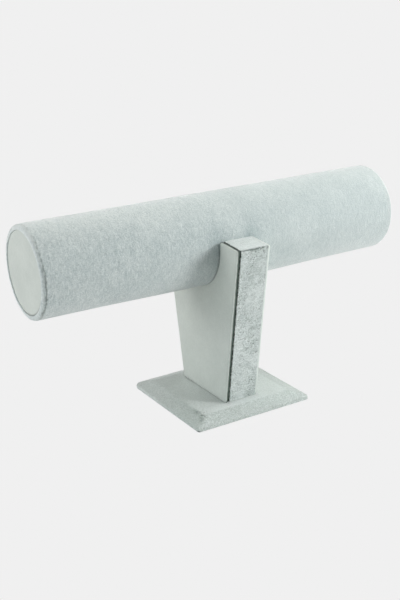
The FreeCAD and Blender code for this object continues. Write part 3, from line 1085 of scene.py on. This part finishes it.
def cover_the_stand():
    girth = math.tau * (ROLL_RADIUS - CLOTH / 2)
    roll_length = 2 * (ROLL_END + TUCK_LENGTH + ROLL_RADIUS - BORE_RADIUS)
    dress(roll_cover(), ROLL_VELVET, "roll_velvet", (girth, roll_length), None, "roll_cover")

    disc_cut = 2 * (DISC_RADIUS + DISC_FACE - DISC_BOARD_BACK + DISC_TURN_IN)
    disc_area = math.pi * disc_cut**2 / 4
    for side, hand, seed in ((-1, "left", 21), (1, "right", 25)):
        piece = disc_cover(side, hand + "_disc_velvet", seed)
        dress(piece, SMOOTH_VELVET, "smooth_velvet", (disc_cut, disc_cut), disc_area, hand + "_disc_cover")

    turn_in = PANEL_FACE - CORE_FACE
    panel_cut = (2 * (PILLAR_TOP_HALF + turn_in), SIDE_RISE + 2 * turn_in)
    panel_area = PANEL_FILL * panel_cut[0] * panel_cut[1]
    for side, hand, seed in ((-1, "left", 31), (1, "right", 35)):
        piece = panel_cover(side, hand + "_panel_velvet", seed)
        dress(piece, SMOOTH_VELVET, "smooth_velvet", panel_cut, panel_area, hand + "_panel_cover")

    slope_length = math.hypot(SIDE_RUN, SIDE_RISE)
    strip_length = 2 * (slope_length + PILLAR_TOP_HALF - BAND_CRADLE) + math.pi * BAND_CRADLE
    strip_cut = (BAND_HIGH.x - BAND_LOW.x, strip_length)
    dress(edge_band(), BAND_VELVET, "roll_velvet", strip_cut, None, "pillar_edge_band")

    base_cut = (2 * (BASE_HALF_WIDTH + HEM), 2 * (BASE_HALF_DEPTH + HEM))
    dress(base_cover(), BASE_VELVET, "roll_velvet", base_cut, None, "base_cover")


def finish_the_frame():
    """Gives each piece of the frame that stays in the scene its material."""
    finishes = {
        "roll_tube": GREY_BOARD,
        "right_disc_board": GREY_BOARD,
        "left_disc_board": GREY_BOARD,
        "pillar_core": GROOVE_SHADE_CORE,
        "right_panel_board": GREY_BOARD,
        "left_panel_board": GREY_BOARD,
        "base_board": RAW_FIBREBOARD,
        "base_underlay": FELT,
        "base_screws": STEEL,
    }
    for node, material in finishes.items():
        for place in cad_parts[node].material_slots:
            place.material = material


cover_the_stand()
finish_the_frame()


# Floor, light and camera

BACKDROP = linear((240, 240, 240))
FLOOR_SIZE = 12.0


def seen_and_lit(tree, lit, output):
    """Joins the lit shader to the output, behind a plain backdrop tone that the camera sees instead."""
    plain = tree.nodes.new("ShaderNodeEmission")
    plain.inputs["Color"].default_value = BACKDROP
    rays = tree.nodes.new("ShaderNodeLightPath")
    mix = tree.nodes.new("ShaderNodeMixShader")
    tree.links.new(rays.outputs["Is Camera Ray"], mix.inputs["Fac"])
    tree.links.new(lit, mix.inputs[1])
    tree.links.new(plain.outputs["Emission"], mix.inputs[2])
    tree.links.new(mix.outputs["Shader"], output.inputs["Surface"])


def pale_floor():
    """Wide pale floor that throws light back at the stand. The picture shows it as an even tone."""
    bpy.ops.mesh.primitive_plane_add(size=FLOOR_SIZE)
    floor = bpy.context.object
    floor.name = "floor"
    material = bpy.data.materials.new("pale_floor")
    material.use_nodes = True
    tree = material.node_tree
    tree.nodes.clear()
    lit = tree.nodes.new("ShaderNodeBsdfDiffuse")
    lit.inputs["Color"].default_value = BACKDROP
    seen_and_lit(tree, lit.outputs["BSDF"], tree.nodes.new("ShaderNodeOutputMaterial"))
    floor.data.materials.append(material)


def studio_world(strength):
    """Even pale light from all round. The picture shows it as the same even tone as the floor."""
    world = bpy.data.worlds.new("studio")
    bpy.context.scene.world = world
    world.use_nodes = True
    tree = world.node_tree
    tree.nodes.clear()
    ambient = tree.nodes.new("ShaderNodeBackground")
    ambient.inputs["Color"].default_value = linear((244, 248, 252))
    ambient.inputs["Strength"].default_value = strength
    seen_and_lit(tree, ambient.outputs["Background"], tree.nodes.new("ShaderNodeOutputWorld"))


def direction(azimuth, elevation):
    """Unit vector from the stand: azimuth 0 is the front and 90 the right, both in degrees."""
    turn, rise = math.radians(azimuth), math.radians(elevation)
    flat = math.cos(rise)
    return np.array([math.sin(turn) * flat, -math.cos(turn) * flat, math.sin(rise)])


def facing(back, roll=0.0):
    """Turn of a lamp or camera whose back looks along that direction, rolled about it in degrees."""
    right = np.cross((0, 0, 1), back)
    right /= np.linalg.norm(right)
    up = np.cross(back, right)
    turn = math.radians(roll)
    across = math.cos(turn) * right + math.sin(turn) * up
    upward = math.cos(turn) * up - math.sin(turn) * right
    return Matrix(np.stack([across, upward, back], axis=1).tolist()).to_4x4()


LIT_POINT = np.array([0, 0, 80 * MM])


def soft_lamp(name, azimuth, elevation, distance, size, power, colour):
    lamp = bpy.data.lights.new(name, "AREA")
    lamp.shape = "DISK"
    lamp.size = size
    lamp.energy = power
    lamp.color = colour
    light = bpy.data.objects.new(name, lamp)
    back = direction(azimuth, elevation)
    light.matrix_world = Matrix.Translation((LIT_POINT + distance * back).tolist()) @ facing(back)
    bpy.context.scene.collection.objects.link(light)


CAMERA_PLACE = (-336.8 * MM, -540.8 * MM, 294.3 * MM)
CAMERA_AZIMUTH = -30.86
CAMERA_ELEVATION = 19.38
CAMERA_ROLL = -1.89
SENSOR_SIZE = 36  # millimetres, as is the focal length
FOCAL_LENGTH = 59.52


def photo_camera():
    data = bpy.data.cameras.new("camera")
    data.sensor_width = SENSOR_SIZE
    data.sensor_fit = "AUTO"
    data.lens = FOCAL_LENGTH
    data.clip_start = 0.01
    camera = bpy.data.objects.new("camera", data)
    back = direction(CAMERA_AZIMUTH, CAMERA_ELEVATION)
    camera.matrix_world = Matrix.Translation(CAMERA_PLACE) @ facing(back, CAMERA_ROLL)
    bpy.context.scene.collection.objects.link(camera)
    bpy.context.scene.camera = camera


pale_floor()
studio_world(strength=0.005)
soft_lamp("key", azimuth=45, elevation=17, distance=1.1, size=0.5, power=9.45, colour=(1.0, 1.0, 1.0))
soft_lamp("top", azimuth=60, elevation=70, distance=0.65, size=0.25, power=1.6, colour=(0.98, 1.0, 0.98))
soft_lamp("right", azimuth=90, elevation=20, distance=0.65, size=0.25, power=0.95, colour=(1.0, 1.0, 1.0))
soft_lamp("back", azimuth=180, elevation=38, distance=1.3, size=0.6, power=4.65, colour=(0.98, 1.0, 0.95))
soft_lamp(
    "high_left", azimuth=-120, elevation=38, distance=1.3, size=0.6, power=3.85, colour=(1.05, 1.0, 0.96)
)
soft_lamp(
    "low_left", azimuth=-120, elevation=12, distance=1.3, size=0.6, power=1.5, colour=(1.06, 0.96, 1.02)
)
soft_lamp("left", azimuth=-90, elevation=12, distance=1.3, size=0.6, power=5.85, colour=(0.95, 1.01, 1.04))
photo_camera()

bpy.context.scene.view_settings.view_transform = "Standard"
